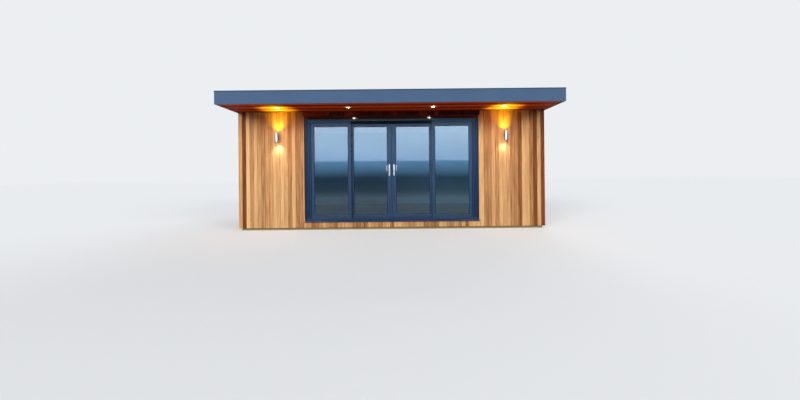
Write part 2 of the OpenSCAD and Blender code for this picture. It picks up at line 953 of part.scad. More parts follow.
// Pull bar: two legs, two bends and a straight grip, drawn in its own plane
module pull() {
    straight = pull_l - 2 * pull_bend;
    leg = pull_reach - pull_bend;
    for (end = [-1, 1])
        translate([0, 0, end * pull_l / 2])
            rotate([90, 0, 0])
                cylinder(d = pull_d, h = leg);
    for (end = [0, 1])
        mirror([0, 0, end])
            translate([0, -leg, pull_l / 2 - pull_bend])
                rotate([0, 90, 0])
                    rotate([0, 0, 180])
                        rotate_extrude(angle = 90)
                            translate([pull_bend, 0])
                                circle(d = pull_d);
    translate([0, -pull_reach, -straight / 2])
        cylinder(d = pull_d, h = straight);
}

// One side of a lever-less handle set, on a panel face at y = 0, facing -Y
module handle() {
    r = plate_w / 2;
    z_pull = (plate_l - pull_l) / 2 - pull_d;
    rotate([90, 0, 0])
        linear_extrude(plate_t)
            union() {
                for (z = [-1, 1])
                    translate([0, z * (plate_l / 2 - r)])
                        circle(r = r);
                square([plate_w, plate_l - plate_w], center = true);
            }
    difference() {
        translate([0, 0, z_pull])
            rotate([0, 0, -pull_lean])
                pull();
        box_from([-plate_w, 0, -plate_l], [plate_w, pull_d, plate_l]);
    }
    translate([0, 0, -plate_l / 2 + 2 * r])
        rotate([90, 0, 0])
            cylinder(d = key_d, h = plate_t + 4);
}

module door_handles() {
    z_mid = z_deck + handle_h;
    translate([-plate_x, y_sash_slide, z_mid])
        handle();
    translate([-plate_x, y_sash_slide + sash_t, z_mid])
        mirror([0, 1, 0])
            handle();
}

module left_door_stiles() {
    color("slategray")
        door_stiles(false);
}

module left_door_rails() {
    color("slategray")
        door_rails();
}

module left_door_glass() {
    color("lightblue", 0.4)
        door_glass();
}

module left_door_rollers() {
    color("dimgray")
        door_rollers();
}

module left_door_handles() {
    color("silver")
        door_handles();
}

module right_door_stiles() {
    color("slategray")
        mirror([1, 0, 0])
            door_stiles(true);
}

module right_door_rails() {
    color("slategray")
        mirror([1, 0, 0])
            door_rails();
}

module right_door_glass() {
    color("lightblue", 0.4)
        mirror([1, 0, 0])
            door_glass();
}

module right_door_rollers() {
    color("dimgray")
        mirror([1, 0, 0])
            door_rollers();
}

module right_door_handles() {
    color("silver")
        mirror([1, 0, 0])
            door_handles();
}

floor_rims();
floor_joists();
floor_deck();
floor_boards();
back_wall();
side_walls();
front_wall_piers();
front_wall_head();
wall_lining();
ceiling();
battens();
back_cladding();
side_cladding();
front_cladding_piers();
front_cladding_centre();
doorway_laths();
roof_panel();
roof_membrane();
fascia_front();
fascia_sides();
fascia_back();
roof_trim();
soffit();
downlights();
wall_lights();
gutter();
downpipe();
door_cill();
door_sill();
door_jambs();
door_head();
fixed_stiles();
fixed_rails();
fixed_glass();
left_door_stiles();
left_door_tongue();
left_door_rails();
left_door_glass();
left_door_rollers();
left_door_handles();
right_door_stiles();
right_door_rails();
right_door_glass();
right_door_rollers();
right_door_handles();
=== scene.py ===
import math
import random

import bmesh
import bpy
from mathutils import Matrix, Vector


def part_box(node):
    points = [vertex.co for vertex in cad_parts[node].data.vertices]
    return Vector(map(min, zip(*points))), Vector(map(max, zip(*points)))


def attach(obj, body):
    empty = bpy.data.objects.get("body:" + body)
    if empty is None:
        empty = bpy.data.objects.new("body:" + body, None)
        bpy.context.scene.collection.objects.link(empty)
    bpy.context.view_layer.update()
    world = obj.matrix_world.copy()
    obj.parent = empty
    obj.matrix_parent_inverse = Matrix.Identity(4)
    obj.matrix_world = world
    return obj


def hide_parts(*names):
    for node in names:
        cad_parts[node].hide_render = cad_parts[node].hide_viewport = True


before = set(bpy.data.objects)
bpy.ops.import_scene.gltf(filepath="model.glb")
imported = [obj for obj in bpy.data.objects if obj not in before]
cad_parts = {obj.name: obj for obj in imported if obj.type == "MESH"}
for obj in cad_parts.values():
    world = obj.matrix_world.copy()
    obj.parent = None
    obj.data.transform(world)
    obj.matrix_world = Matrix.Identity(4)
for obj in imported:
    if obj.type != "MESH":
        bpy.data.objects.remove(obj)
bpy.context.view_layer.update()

# View and light
# The camera stands level in front of the doors, at chest height. Two soft suns stand low in
# front and one behind, under a pale sky and over a pale floor. A tall card behind the camera
# shows in the glass, the metal and the coat of the doors.


def bring_in(name, data):
    """Puts a new object into the scene."""
    thing = bpy.data.objects.new(name, data)
    bpy.context.scene.collection.objects.link(thing)
    return thing


view = bring_in("front_view", bpy.data.cameras.new("front_view"))
view.data.sensor_width = 36.0
view.data.lens = 14.175
view.data.shift_x = 0.0025
view.data.shift_y = -0.0325
view.location = (0.13, -8.43, 1.138)
view.rotation_euler = (math.radians(90), math.radians(0.55), 0)
bpy.context.scene.camera = view
bpy.context.scene.view_settings.view_transform = "Standard"


def plug(tree, node, inputs):
    """Fills the inputs of a node, with values or with links from sockets or nodes."""
    for name, value in inputs.items():
        if isinstance(value, bpy.types.Node):
            value = value.outputs[0]
        if isinstance(value, bpy.types.NodeSocket):
            tree.links.new(value, node.inputs[name])
        else:
            node.inputs[name].default_value = value


def add_node(tree, kind, settings=None, inputs=None):
    """One node, with its settings by name and its inputs filled."""
    node = tree.nodes.new(kind)
    for name, value in (settings or {}).items():
        setattr(node, name, value)
    plug(tree, node, inputs or {})
    return node


def number(tree, operation, first, second=0.5, third=0.5):
    """The result of one sum on numbers or links."""
    return add_node(tree, "ShaderNodeMath", {"operation": operation},
                    {0: first, 1: second, 2: third}).outputs[0]


def seen_by(tree, kinds):
    """1 for a ray of one of these kinds, else 0."""
    ray = add_node(tree, "ShaderNodeLightPath")
    share = 0.0
    for kind in kinds:
        share = number(tree, "MAXIMUM", share, ray.outputs["Is %s Ray" % kind])
    return share


sky = bpy.data.worlds.new("even_sky")
sky.use_nodes = True
bpy.context.scene.world = sky
sky_tree = sky.node_tree
sky_tree.nodes.clear()
looked_at = ("Camera", "Glossy", "Transmission")
white_sky = add_node(sky_tree, "ShaderNodeBackground", None, {"Color": (0.84, 0.86, 0.88, 1)})
soft_sky = add_node(sky_tree, "ShaderNodeBackground", None,
                    {"Color": (0.95, 0.98, 1.0, 1), "Strength": 0.36})
either_sky = add_node(sky_tree, "ShaderNodeMixShader", None,
                      {0: seen_by(sky_tree, looked_at), 1: soft_sky, 2: white_sky})
add_node(sky_tree, "ShaderNodeOutputWorld", None, {"Surface": either_sky})

sunlit_spot = Vector((0, -1.9, 1.3))
for name, place, strength, softness in (("soft_sun_left", (-7.0, -12.5, 5.9), 2.27, 28),
                                        ("soft_sun_right", (9.0, -10.0, 5.4), 1.16, 28),
                                        ("soft_sun_back", (5.0, 13.0, 8.0), 1.5, 45)):
    sun = bring_in(name, bpy.data.lights.new(name, "SUN"))
    sun.data.energy = strength
    sun.data.angle = math.radians(softness)
    sun.location = place
    sun.visible_glossy = False
    sun.rotation_euler = (sunlit_spot - sun.location).to_track_quat("-Z", "Y").to_euler()


def flat_sheet(name, corners):
    """A flat sheet of the studio, not part of the pod."""
    sheet = bpy.data.meshes.new(name)
    sheet.from_pydata(corners, [], [(0, 1, 2, 3)])
    sheet = bring_in(name, sheet)
    finish = bpy.data.materials.new(name)
    finish.use_nodes = True
    finish.node_tree.nodes.clear()
    sheet.data.materials.append(finish)
    return sheet, finish.node_tree


# The floor looks pale, but throws back only as much warm light as a timber deck does
reach = 60
ground, ground_tree = flat_sheet("studio_floor", [(-reach, -reach, 0), (reach, -reach, 0),
                                                  (reach, reach, 0), (-reach, reach, 0)])
pale = add_node(ground_tree, "ShaderNodeBsdfDiffuse", None, {"Color": (0.575, 0.585, 0.60, 1)})
paler = add_node(ground_tree, "ShaderNodeEmission", None, {"Color": (0.30, 0.31, 0.32, 1)})
pale = add_node(ground_tree, "ShaderNodeAddShader", None, {0: pale, 1: paler})
warm = add_node(ground_tree, "ShaderNodeBsdfDiffuse", None, {"Color": (0.20, 0.125, 0.085, 1)})
ground_skin = add_node(ground_tree, "ShaderNodeMixShader", None,
                       {0: seen_by(ground_tree, looked_at), 1: warm, 2: pale})
add_node(ground_tree, "ShaderNodeOutputMaterial", None, {"Surface": ground_skin})


def noise(tree, where, scale, detail=2.0, rough=0.5):
    """Soft chance marks, from 0 to 1."""
    return add_node(tree, "ShaderNodeTexNoise", None,
                    {"Vector": where, "Scale": scale, "Detail": detail, "Roughness": rough}).outputs[0]


def drawn_out(tree, where, scale):
    """Places with a scale for each axis. A small one draws marks out along it."""
    return add_node(tree, "ShaderNodeMapping", None, {"Vector": where, "Scale": scale}).outputs[0]


# The card is as pale as the floor at its foot, dark up to a soft line a little over the
# camera, and pale with faint clouds above. Only some pieces see it
card_half, card_y, card_high = 22, -11, 8.0
card, card_tree = flat_sheet("studio_card", [(-card_half, card_y, 0), (card_half, card_y, 0),
                                             (card_half, card_y, card_high),
                                             (-card_half, card_y, card_high)])
card_where = add_node(card_tree, "ShaderNodeTexCoord").outputs["Object"]
card_height = add_node(card_tree, "ShaderNodeSeparateXYZ", None, {0: card_where}).outputs["Z"]
card_tones = add_node(card_tree, "ShaderNodeValToRGB", None,
                      {0: number(card_tree, "DIVIDE", card_height, card_high)})
for height, tone in ((0.0, (0.13, 0.13, 0.14)), (0.30, (0.05, 0.06, 0.07)), (0.95, (0.03, 0.05, 0.07)),
                     (1.77, (0.24, 0.40, 0.53)), (1.83, (0.64, 0.74, 0.85)), (3.6, (0.97, 0.97, 1.0))):
    stop = card_tones.color_ramp.elements
    stop = stop[0] if height == 0 else stop.new(height / card_high)
    stop.color = tone + (1,)
card_tones.color_ramp.elements[-1].color = (1, 1, 1, 1)
card_clouds = noise(card_tree, drawn_out(card_tree, card_where, (0.22, 1, 1)), 1.0, 4.0)
card_glow = number(card_tree, "MULTIPLY_ADD", card_clouds, 2.1, 4.75)
card_skin = add_node(card_tree, "ShaderNodeEmission", None, {"Color": card_tones, "Strength": card_glow})
add_node(card_tree, "ShaderNodeOutputMaterial", None, {"Surface": card_skin})
for kind in ("camera", "diffuse", "shadow"):
    setattr(card, "visible_" + kind, False)
mirrors = bpy.data.collections.new("glass_metal_and_door_coat")
panes = ["fixed_glass", "left_door_glass", "right_door_glass"]
sashes = ["fixed_stiles", "fixed_rails", "left_door_stiles", "left_door_rails", "left_door_tongue",
          "right_door_stiles", "right_door_rails"]
handles = ["left_door_handles", "right_door_handles"]
for name in panes + sashes + handles + ["wall_lights", "door_jambs", "door_head"]:
    mirrors.objects.link(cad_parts[name])
card.light_linking.receiver_collection = mirrors

# Floor frame and deck
# Sawn, pressure-treated softwood: two long rims with joists between them at 400 mm, and
# sheets of flakeboard screwed down over them. The wall and roof panels are flakeboard too.


def paint_colour(colour, share=1.0):
    """A colour from 0 to 255, darkened or lightened by a share and made linear."""
    steps = [min(c * share, 255) / 255 for c in colour]
    return tuple(c / 12.92 if c < 0.04045 else ((c + 0.055) / 1.055) ** 2.4 for c in steps) + (1,)


def new_finish(name):
    """An empty material: itself, its tree, its surface shader and the places on the piece."""
    finish = bpy.data.materials.new(name)
    finish.use_nodes = True
    tree = finish.node_tree
    tree.nodes.clear()
    skin = add_node(tree, "ShaderNodeBsdfPrincipled")
    add_node(tree, "ShaderNodeOutputMaterial", None, {"Surface": skin})
    return finish, tree, skin, add_node(tree, "ShaderNodeTexCoord").outputs["Object"]


def blend_colours(tree, share, first, second):
    """The second colour over the first, by a share from 0 to 1."""
    return add_node(tree, "ShaderNodeMix", {"data_type": "RGBA", "clamp_factor": True},
                    {"Factor": share, 6: first, 7: second}).outputs[2]


def dents(tree, skin, height, depth, strength):
    """Gives a surface the relief of a height, in metres of depth."""
    bump = add_node(tree, "ShaderNodeBump", None,
                    {"Height": height, "Distance": depth, "Strength": strength})
    plug(tree, skin, {"Normal": bump})


def wood_finish(name, dark, light, along, tone=None, red=(150, 78, 46), rough=0.62, knots=0.0, shine=0.35):
    """Planed wood with rings and fibres along one axis. Where no tone is given, each board
    brings its own tone, redness and seed as attributes."""
    finish, tree, skin, where = new_finish(name)
    redness = 0.0
    if tone is None:
        tone, redness, seed = [add_node(tree, "ShaderNodeAttribute", {"attribute_name": mark}).outputs["Fac"]
                               for mark in ("tone", "redness", "seed")]
        shift = add_node(tree, "ShaderNodeCombineXYZ", None,
                         {i: number(tree, "MULTIPLY", seed, pace) for i, pace in enumerate((7.3, 3.1, 5.7))})
        where = add_node(tree, "ShaderNodeVectorMath", {"operation": "ADD"}, {0: where, 1: shift}).outputs[0]
    drawn = drawn_out(tree, where, [0.045 if axis == along else 1.0 for axis in "XYZ"])
    rings = number(tree, "SINE", number(tree, "MULTIPLY", noise(tree, drawn, 8.0, 2.0, 0.4), 70.0))
    fibres = noise(tree, drawn, 240.0, 4.0, 0.6)
    streaks = noise(tree, drawn, 42.0, 3.0)
    grain = number(tree, "MULTIPLY_ADD", rings, 0.07, tone)
    for marks, weight in ((fibres, 0.45), (streaks, 0.75)):
        grain = number(tree, "MULTIPLY_ADD", number(tree, "SUBTRACT", marks, 0.5), weight, grain)
    colour = blend_colours(tree, redness,
                           blend_colours(tree, grain, paint_colour(dark), paint_colour(light)),
                           blend_colours(tree, grain, paint_colour(red, 0.72), paint_colour(red, 1.3)))
    if knots:
        knot_where = drawn_out(tree, where, [0.28 if axis == along else 1.0 for axis in "XYZ"])
        spots = add_node(tree, "ShaderNodeTexVoronoi", None, {"Vector": knot_where, "Scale": 9.0})
        chosen = add_node(tree, "ShaderNodeSeparateColor", None, {0: spots.outputs["Color"]})
        chosen = number(tree, "GREATER_THAN", chosen, 1.0 - knots)
        core = add_node(tree, "ShaderNodeMapRange", {"interpolation_type": "SMOOTHSTEP"},
                        {0: spots.outputs["Distance"], 1: 0.035, 2: 0.11, 3: 0.85, 4: 0.0})
        colour = blend_colours(tree, number(tree, "MULTIPLY", core, chosen), colour,
                               paint_colour((84, 46, 24)))
    plug(tree, skin, {"Base Color": colour, "Specular IOR Level": shine,
                      "Roughness": number(tree, "MULTIPLY_ADD", fibres, 0.25, rough - 0.12)})
    dents(tree, skin, number(tree, "ADD", fibres, number(tree, "MULTIPLY", streaks, 0.6)), 0.0012, 0.35)
    return finish


def dress(node_names, finish):
    """Puts a finish on CAD nodes that stay as they are."""
    for name in node_names:
        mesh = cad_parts[name].data
        mesh.materials.clear()
        mesh.materials.append(finish)


treated_dark, treated_light = (122, 112, 72), (176, 160, 112)
for nodes, along in ((["floor_joists"], "Y"), (["floor_rims", "battens"], "X")):
    dress(nodes, wood_finish("treated_timber_" + along.lower(), treated_dark, treated_light, along,
                             tone=0.5, rough=0.75))


def flakeboard_finish(name):
    """Pressed flakes of wood, each with its own tone and turn."""
    finish, tree, skin, where = new_finish(name)
    flakes = add_node(tree, "ShaderNodeTexVoronoi", None, {"Vector": where, "Scale": 26.0})
    tone = add_node(tree, "ShaderNodeSeparateColor", None, {0: flakes.outputs["Color"]})
    share = number(tree, "MULTIPLY_ADD", noise(tree, where, 190.0, 3.0), 0.4,
                   number(tree, "MULTIPLY", tone, 0.6))
    plug(tree, skin, {"Base Color": blend_colours(tree, share, paint_colour((150, 112, 66)),
                                                  paint_colour((214, 180, 128))),
                      "Roughness": 0.8})
    dents(tree, skin, share, 0.001, 0.5)
    return finish


dress(["floor_deck", "back_wall", "side_walls", "front_wall_piers", "front_wall_head", "roof_panel"],
      flakeboard_finish("flakeboard"))

# Inside of the room
# The wall panels are lined with painted plasterboard, with a skirting board along the foot
# of the walls, and engineered oak boards are laid over the deck.


def paint_finish(name, colour):
    """Rolled emulsion paint: even, with the fine stipple of the roller."""
    finish, tree, skin, where = new_finish(name)
    clouds = noise(tree, where, 1.3, 3.0)
    plug(tree, skin, {"Base Color": blend_colours(tree, clouds, paint_colour(colour, 0.95),
                                                  paint_colour(colour)),
                      "Roughness": 0.78})
    dents(tree, skin, noise(tree, where, 420.0), 0.0004, 0.4)
    return finish


dress(["wall_lining", "ceiling"], paint_finish("white_wall_paint", (226, 228, 228)))


def settle(piece, finish=None, body="building"):
    """Puts a piece on its body and in its material slot, with its finish if it has none."""
    if finish:
        piece.data.materials.append(finish)
    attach(piece, body)


def new_tree(name, sizes):
    """A Geometry Nodes tree with named inputs for its sizes and its finish, still empty."""
    tree = bpy.data.node_groups.new(name, "GeometryNodeTree")
    tree.interface.new_socket("Places", in_out="INPUT", socket_type="NodeSocketGeometry")
    tree.interface.new_socket("Pieces", in_out="OUTPUT", socket_type="NodeSocketGeometry")
    for label, kind in sizes:
        tree.interface.new_socket(label, in_out="INPUT", socket_type="NodeSocket" + kind)
    tree.interface.new_socket("Finish", in_out="INPUT", socket_type="NodeSocketMaterial")
    return tree, tree.nodes.new("NodeGroupInput").outputs


def place_mark(tree, kind, name):
    """What each place carries under a name."""
    return add_node(tree, "GeometryNodeInputNamedAttribute", {"data_type": kind}, {"Name": name})


def close_tree(tree, size, shape, stretch=(1, 1, 1)):
    """Ends a tree: sets the shape at each place with its turn and gives it the finish."""
    laid = add_node(tree, "GeometryNodeInstanceOnPoints", None,
                    {"Points": size["Places"], "Instance": shape, "Scale": stretch,
                     "Rotation": place_mark(tree, "FLOAT_VECTOR", "turn")})
    real = add_node(tree, "GeometryNodeRealizeInstances", None, {0: laid})
    dressed = add_node(tree, "GeometryNodeSetMaterial", None, {"Geometry": real, "Material": size["Finish"]})
    add_node(tree, "NodeGroupOutput", None, {0: dressed})


def grow(name, tree, places, turn, sizes, marks=None):
    """Runs a tree on places with one turn and perhaps more marks, and keeps the plain mesh."""
    seedbed = bpy.data.meshes.new(name + "_places")
    seedbed.from_pydata([tuple(place) for place in places], [], [])
    for label, values in {**(marks or {}), "turn": [turn] * len(places)}.items():
        kind, field = ("FLOAT_VECTOR", "vector") if label == "turn" else ("FLOAT", "value")
        mark = seedbed.attributes.new(label, kind, "POINT")
        for i, value in enumerate(values):
            setattr(mark.data[i], field, value)
    bed = bring_in(name + "_places", seedbed)
    step = bed.modifiers.new("laying", "NODES")
    step.node_group = tree
    for item in tree.interface.items_tree:
        if item.name in sizes:
            step[item.identifier] = sizes[item.name]
    mesh = bpy.data.meshes.new_from_object(bed.evaluated_get(bpy.context.evaluated_depsgraph_get()))
    mesh.name = name
    bpy.data.objects.remove(bed)
    return bring_in(name, mesh)


# One tree lays every kind of board: a bar with eased edges, of one width and thickness. Each
# place gives it a length and its other marks
board_tree, size = new_tree("board_laying", [("Board width", "Float"), ("Board thickness", "Float"),
                                             ("Eased edge", "Float")])
outline = add_node(board_tree, "GeometryNodeCurvePrimitiveQuadrilateral", None,
                   {"Width": size["Board width"], "Height": size["Board thickness"]})
eased = add_node(board_tree, "GeometryNodeFilletCurve", None,
                 {"Curve": outline, "Radius": size["Eased edge"]})
stem = add_node(board_tree, "GeometryNodeCurvePrimitiveLine", None, {"End": (0, 0, 1)})
bar = add_node(board_tree, "GeometryNodeCurveToMesh", None,
               {"Curve": stem, "Profile Curve": eased, "Fill Caps": True})
bar = add_node(board_tree, "GeometryNodeSetShadeSmooth", None, {"Geometry": bar, "Shade Smooth": False})
stretch = add_node(board_tree, "ShaderNodeCombineXYZ", None,
                   {0: 1.0, 1: 1.0, 2: place_mark(board_tree, "FLOAT", "length")})
close_tree(board_tree, size, bar, stretch)


def lay_boards(name, places, lengths, turn, width, thick, ease, finish, **marks):
    """Boards from places, each with its length and perhaps its tone, redness and seed."""
    return grow(name, board_tree, places, turn,
                {"Board width": width, "Board thickness": thick, "Eased edge": ease, "Finish": finish},
                {"length": lengths, **marks})


# The oak boards lie in rows along the room, each row in three lengths with staggered ends
oak_low, oak_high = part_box("floor_boards")
room_front = -oak_high.y
row_count, shortest = 20, 0.6
row_w = (oak_high.y - room_front) / row_count
third = (oak_high.x - oak_low.x) / 3
oak_thick, oak_ease = oak_high.z - oak_low.z, 0.0012
oak_z = (oak_low.z + oak_high.z) / 2
along_x = (math.pi / 2, 0, math.pi / 2)
oak_finish = wood_finish("oiled_oak", (128, 88, 50), (186, 142, 92), "X", rough=0.4)
chance = random.Random(11)
oak_boards = []
for row in range(row_count):
    ends = [oak_low.x, oak_low.x + shortest + third * (row * 0.37 % 1.0) * 0.8,
            oak_high.x - third * (1.1 - row * 0.29 % 0.5), oak_high.x]
    for start, stop in zip(ends, ends[1:]):
        oak_boards.append(((start, room_front + (row + 0.5) * row_w, oak_z), stop - start,
                           chance.uniform(0.2, 0.8), chance.uniform(0, 40)))
oak_places, oak_lengths, oak_tones, oak_seeds = zip(*oak_boards)
oak_floor = lay_boards("oak_floor_boards", oak_places, oak_lengths, along_x, row_w, oak_thick, oak_ease,
                       oak_finish, tone=oak_tones, redness=[0.0] * len(oak_places), seed=oak_seeds)
threshold_half, threshold_in = 1.797, 0.001
threshold = lay_boards("oak_threshold", [(-threshold_half, (oak_low.y + room_front) / 2, oak_z)],
                       [2 * threshold_half], along_x, room_front - oak_low.y - threshold_in, oak_thick,
                       oak_ease, oak_finish, tone=[0.35], redness=[0.0], seed=[5.0])
for boards in (oak_floor, threshold):
    settle(boards)
    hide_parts("floor_boards")

# Painted skirting boards stand along the foot of the walls, mitred at the corners


def join_rings(mesh, rings, closed=False):
    """Lays faces from ring to ring. Closed rings go on to the first one, others get end faces."""
    for near, far in zip(rings, rings[1:] + (rings[:1] if closed else [])):
        for k in range(len(near)):
            mesh.faces.new((near[k - 1], near[k], far[k], far[k - 1]))
    if not closed:
        mesh.faces.new(rings[0])
        mesh.faces.new(rings[-1])


def mitred_run(mesh, path, section, normal, closed=True):
    """Draws a section along a path with mitred corners. The section is given as distances
    to the side of the path and along the normal of its plane."""
    path = [Vector(spot) for spot in path]
    normal = Vector(normal)
    rings = []
    for i, spot in enumerate(path):
        before = (spot - path[i - 1]).normalized() if closed or i > 0 else None
        after = (path[(i + 1) % len(path)] - spot).normalized() if closed or i < len(path) - 1 else None
        side = normal.cross(before or after) + normal.cross(after or before)
        side = side * (2 / side.length_squared)
        rings.append([mesh.verts.new(spot + side * u + normal * v) for u, v in section])
    join_rings(mesh, rings, closed)
    return mesh


def keep_mesh(name, mesh, smooth=False):
    """Closes a mesh being built and puts it into the scene."""
    bmesh.ops.recalc_face_normals(mesh, faces=mesh.faces)
    data = bpy.data.meshes.new(name)
    mesh.to_mesh(data)
    mesh.free()
    if smooth:
        data.shade_smooth()
    return bring_in(name, data)


skirt_h, skirt_t = 0.095, 0.015
skirt_section = [(0, 0), (skirt_t, 0), (skirt_t, skirt_h - 0.028), (skirt_t * 0.8, skirt_h - 0.02),
                 (skirt_t * 0.72, skirt_h - 0.008), (skirt_t * 0.4, skirt_h), (0, skirt_h)]
skirt_end = threshold_half + 0.02
skirt_corners = ((skirt_end, room_front), (oak_high.x, room_front), (oak_high.x, oak_high.y),
                 (oak_low.x, oak_high.y), (oak_low.x, room_front), (-skirt_end, room_front))
skirting = mitred_run(bmesh.new(), [(x, y, oak_high.z) for x, y in skirt_corners], skirt_section,
                      (0, 0, 1), closed=False)
settle(keep_mesh("skirting_boards", skirting),
       paint_finish("white_gloss_paint", (232, 232, 230)))

# Cedar cladding
# Oiled boards of western cedar cover about 78 mm each, with a V and a fine gap at the joints.
# The front piers are laid board by board by tone, the rest by chance; over the doors they are darkened as
# painted shade.

cedar = wood_finish("oiled_cedar", (123, 64, 28), (241, 194, 136), "Z", red=(140, 66, 34), knots=0.05)
clad_t, board_gap, clad_ease = 0.020, 0.0018, 0.0034
piers_low, piers_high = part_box("front_cladding_piers")
centre_low, centre_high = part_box("front_cladding_centre")
sides_low, sides_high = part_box("side_cladding")
back_low, back_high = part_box("back_cladding")
door_side = centre_high.x


def clad(name, node, start, end, z_low, z_high, tones, reds, turn=0.0, finish=cedar):
    """One run of boards for a CAD node, between two points on the middle line of the run."""
    count = len(tones)
    start = Vector((*start, z_low))
    line = Vector((*end, z_low)) - start
    lot = random.Random(name)
    run = lay_boards(name, [start + line * ((i + 0.5) / count) for i in range(count)],
                     [z_high - z_low] * count, (0, 0, turn), line.length / count - board_gap, clad_t,
                     clad_ease, finish, tone=tones, redness=reds,
                     seed=[lot.uniform(0, 60) for _ in range(count)])
    settle(run)
    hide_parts(node)


left_tones = [0.6, 0.1, 0.92, 0.52, 0.74, 0.58, 0.42, 0.56, 0.58, 0.74, 0.6, 0.76, 0.64, 0.4, 0.74,
              0.34, 0.38]
left_reds = [0, 0.75, 0, 0.2, 0, 0.1, 0.1, 0.1, 0.2, 0, 0, 0, 0, 0.25, 0, 0.1, 0.1]
right_tones = [0.76, 0.34, 0.4, 0.7, 0.42, 0.7, 0.66, 0.56, 0.34, 0.38, 0.14, 0.74, 0.7, 0.3, 0.06,
               0.6, 0.16]
right_reds = [0, 0.1, 0.15, 0.15, 0.1, 0, 0.1, 0.05, 0.1, 0.1, 0.35, 0, 0.1, 0.1, 0.6, 0, 0.85]
y_front = piers_low.y + clad_t / 2
clad("cladding_left_pier", "front_cladding_piers", (piers_low.x, y_front), (-door_side, y_front),
     piers_low.z, piers_high.z, left_tones, left_reds)
clad("cladding_right_pier", "front_cladding_piers", (door_side, y_front), (piers_high.x, y_front),
     piers_low.z, piers_high.z, right_tones, right_reds)

chance = random.Random(23)
# The boards over the doors carry painted shade of the overhang: lighter brown at the left where less shade
# falls, black at the right, and a few boards set lighter, most of them under the inner downlights, as painted
# lamp light
band_count, band_h, foot_h = 47, 0.085, 0.117
painted_lit_boards, painted_shade_boards = 7, 10
band_light_and_shade_tones = [chance.uniform(0.6, 0.9) for _ in range(painted_lit_boards)]
band_light_and_shade_tones += [chance.choice((0.0, 0.1, 0.25)) for _ in range(band_count - painted_lit_boards)]
band_light_and_shade_tones[-painted_shade_boards:] = [0.0] * painted_shade_boards
for n, tone in ((11, 0.65), (12, 0.9), (13, 0.65), (24, 0.5), (31, 0.85), (32, 0.55), (35, 0.9)):
    band_light_and_shade_tones[n] = tone
band_reds = [chance.uniform(0.0, 0.3) for _ in range(band_count)]
foot_tones = [chance.uniform(0.2, 0.8) for _ in range(band_count)]
# A darker, redder copy of the cedar finish stands for the shade over the doors: painted shade
clad("cladding_over_doors", "front_cladding_centre", (-door_side, y_front), (door_side, y_front),
     centre_high.z - band_h, centre_high.z, band_light_and_shade_tones, band_reds,
     finish=wood_finish("painted_shade_cedar", (52, 14, 5), (156, 62, 24), "Z", shine=0.15))
clad("cladding_under_doors", "front_cladding_centre", (-door_side, y_front), (door_side, y_front),
     centre_low.z, centre_low.z + foot_h, foot_tones, band_reds)


def chance_tones(count):
    """Tones and rednesses of a run laid as the boards came off the pack."""
    tones = [min(max(chance.gauss(0.5, 0.22), 0.04), 0.95) for _ in range(count)]
    return tones, [chance.uniform(0.2, 0.6) if tone < 0.25 else chance.uniform(0, 0.25) for tone in tones]


side_boards, back_boards = 50, 80
for side, x_run in (("left", sides_low.x + clad_t / 2), ("right", sides_high.x - clad_t / 2)):
    clad("cladding_%s_side" % side, "side_cladding", (x_run, sides_low.y), (x_run, sides_high.y),
         sides_low.z, sides_high.z, *chance_tones(side_boards), turn=math.pi / 2)
y_back = back_high.y - clad_t / 2
clad("cladding_back", "back_cladding", (back_low.x, y_back), (back_high.x, y_back),
     back_low.z, back_high.z, *chance_tones(back_boards))

# Three laths line the doorway: two stand at the jambs, one lies over the frame, dark as painted shade
laths_low, laths_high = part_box("doorway_laths")
doorway_half, lath_ease = 1.8, 0.002
lath_w, lath_t = laths_high.x - doorway_half, laths_high.y - laths_low.y
lath_y = (laths_low.y + laths_high.y) / 2
jamb_laths = lay_boards("jamb_laths",
                        [(side * (laths_high.x - lath_w / 2), lath_y, laths_low.z) for side in (-1, 1)],
                        [laths_high.z - laths_low.z] * 2, (0, 0, 0), lath_w, lath_t, lath_ease,
                        cedar, tone=[0.7, 0.8], redness=[0.05, 0.0], seed=[2.0, 7.0])
# The head lath's finish is a dark copy of the cedar: painted shade under the overhang
head_lath = lay_boards("head_lath", [(-laths_high.x + lath_w, lath_y, laths_high.z - lath_w / 2)],
                       [2 * (laths_high.x - lath_w)], (0, math.pi / 2, 0), lath_w, lath_t, lath_ease,
                       wood_finish("painted_shade_cedar_lath", (40, 14, 6), (104, 44, 20), "X"),
                       tone=[0.2], redness=[0.0], seed=[4.0])
for laths in (jamb_laths, head_lath):
    settle(laths)
    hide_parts("doorway_laths")

# Roof, fascia and rainwater goods
# Boards of fibre cement in an anthracite coat are pinned all round the roof, under a folded
# and darker metal trim. A rubber membrane runs down to a plastic gutter.


def coat_finish(name, colour, rough, grit=0.0004, drift=0.06, sheen=0.5, cast=(1.0, 1.0, 1.0)):
    """A sprayed coat: one colour with a slow drift of tone and a fine peel. Its sheen may
    have a cast, as the blue of a dull sky."""
    finish, tree, skin, where = new_finish(name)
    clouds = noise(tree, where, 2.1, 4.0, 0.6)
    plug(tree, skin, {"Base Color": blend_colours(tree, clouds, paint_colour(colour, 1 - drift),
                                                  paint_colour(colour, 1 + drift)),
                      "Roughness": number(tree, "MULTIPLY_ADD", clouds, 0.12, rough - 0.06),
                      "Specular IOR Level": sheen, "Specular Tint": cast + (1,)})
    dents(tree, skin, noise(tree, where, 700.0), grit, 0.25)
    return finish


fascia_coat = coat_finish("anthracite_fascia_coat", (78, 104, 138), 0.5, sheen=0.3)
dress(["fascia_front", "fascia_sides", "fascia_back"], fascia_coat)
dress(["roof_trim"], coat_finish("anthracite_trim_coat", (60, 82, 110), 0.38, sheen=0.3))
membrane = coat_finish("black_rubber_membrane", (62, 64, 66), 0.7, grit=0.001, drift=0.18)
dress(["roof_membrane"], membrane)
gutter_plastic = coat_finish("anthracite_gutter_plastic", (58, 64, 72), 0.36)
dress(["gutter", "downpipe"], gutter_plastic)

